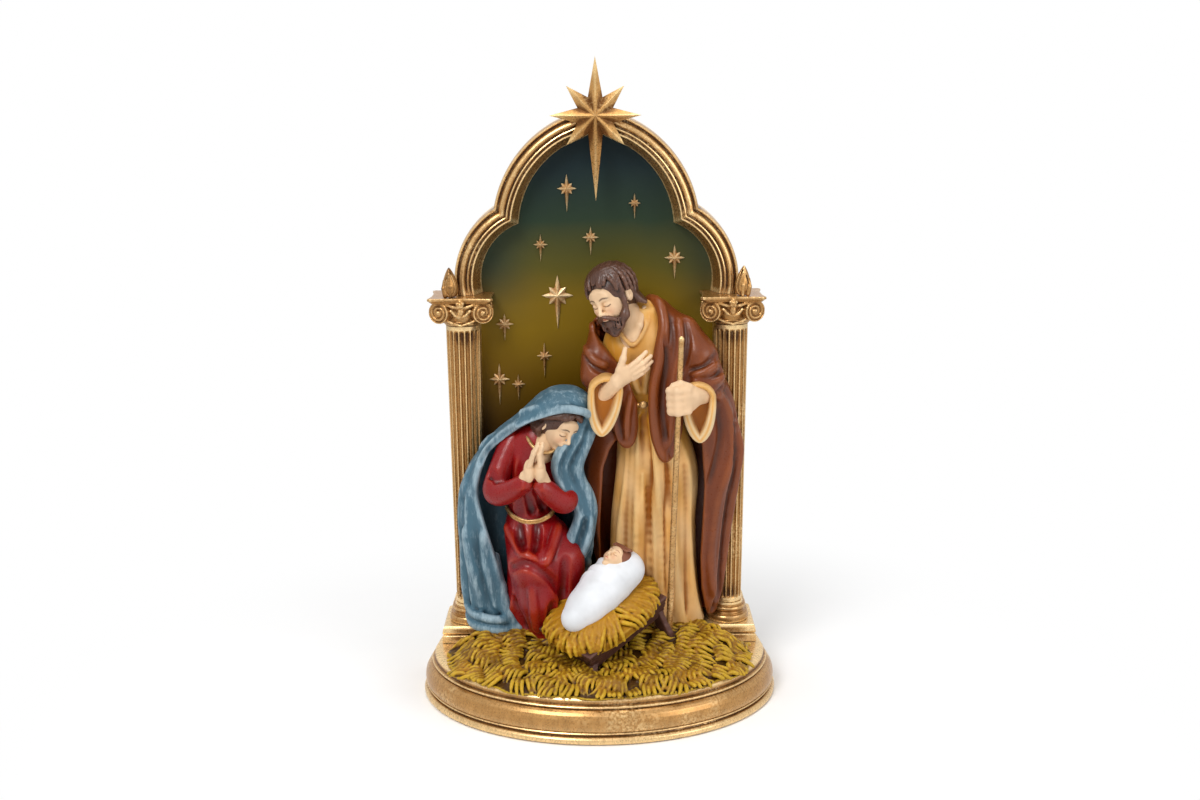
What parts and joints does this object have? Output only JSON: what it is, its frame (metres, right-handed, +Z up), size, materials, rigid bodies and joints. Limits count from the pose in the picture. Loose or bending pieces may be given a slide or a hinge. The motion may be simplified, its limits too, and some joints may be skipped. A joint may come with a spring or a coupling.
{
  "type": "holy family statue",
  "caption": "Cast statue of the holy family: two figures and a child in a manger on straw, inside a trefoil-arched gold niche on an oval base.",
  "frame": {"origin": "centre of the bounding box at the underside, on the surface that the statue stands on", "axes": "+Z up, +X to the viewer's right, +Y away from the viewer towards the flat back"},
  "size_m": [0.21, 0.1244, 0.3687],
  "materials": {
    "antique_gold": "antiqued gold leaf over cast resin, dark wash in the hollows, worn bright edges",
    "green_felt": "thin felt",
    "night_sky_paint": "painted resin, dark teal fading to olive gold",
    "ochre_paint": "painted resin, ochre with a cream dry-brush",
    "brown_paint": "painted resin, red brown with a dark wash",
    "crimson_paint": "painted resin, satin crimson",
    "blue_paint": "painted resin, grey blue with a pale dry-brush",
    "skin_paint": "painted resin, warm skin tone",
    "brown_hair_paint": "painted resin, brown",
    "dark_wood_paint": "painted resin, dark wood",
    "straw_paint": "painted resin, straw yellow with a brown wash",
    "white_paint": "painted resin, cool white"
  },
  "bodies": {
    "root": {"arch_leaf_left": "antique_gold", "arch_leaf_right": "antique_gold", "arch_moulding": "antique_gold", "base": "antique_gold", "base_felt_pad": "green_felt", "capital_left": "antique_gold", "capital_right": "antique_gold", "child_hair": "brown_hair_paint", "child_head": "skin_paint", "child_swaddle": "white_paint", "column_base_left": "antique_gold", "column_base_right": "antique_gold", "column_shaft_left": "antique_gold", "column_shaft_right": "antique_gold", "crown_star": "antique_gold", "joseph_beard": "brown_hair_paint", "joseph_belt": "antique_gold", "joseph_cloak": "brown_paint", "joseph_hair": "brown_hair_paint", "joseph_head": "skin_paint", "joseph_left_hand": "skin_paint", "joseph_left_sleeve": "ochre_paint", "joseph_right_hand": "skin_paint", "joseph_right_sleeve": "ochre_paint", "joseph_staff": "antique_gold", "joseph_tunic": "ochre_paint", "manger_hay": "straw_paint", "manger_leg_foot_left": "dark_wood_paint", "manger_leg_foot_right": "dark_wood_paint", "manger_leg_head_right": "dark_wood_paint", "manger_trough": "dark_wood_paint", "mary_belt": "antique_gold", "mary_dress": "crimson_paint", "mary_hair": "brown_hair_paint", "mary_hands": "skin_paint", "mary_head": "skin_paint", "mary_left_sleeve": "crimson_paint", "mary_mantle": "blue_paint", "mary_right_sleeve": "crimson_paint", "niche_back_panel": "night_sky_paint", "niche_step": "antique_gold", "panel_star_01": "antique_gold", "panel_star_02": "antique_gold", "panel_star_03": "antique_gold", "panel_star_04": "antique_gold", "panel_star_05": "antique_gold", "panel_star_06": "antique_gold", "panel_star_07": "antique_gold", "panel_star_08": "antique_gold", "panel_star_09": "antique_gold", "panel_star_10": "antique_gold", "straw_bed": "straw_paint"}
  },
  "joints": []
}
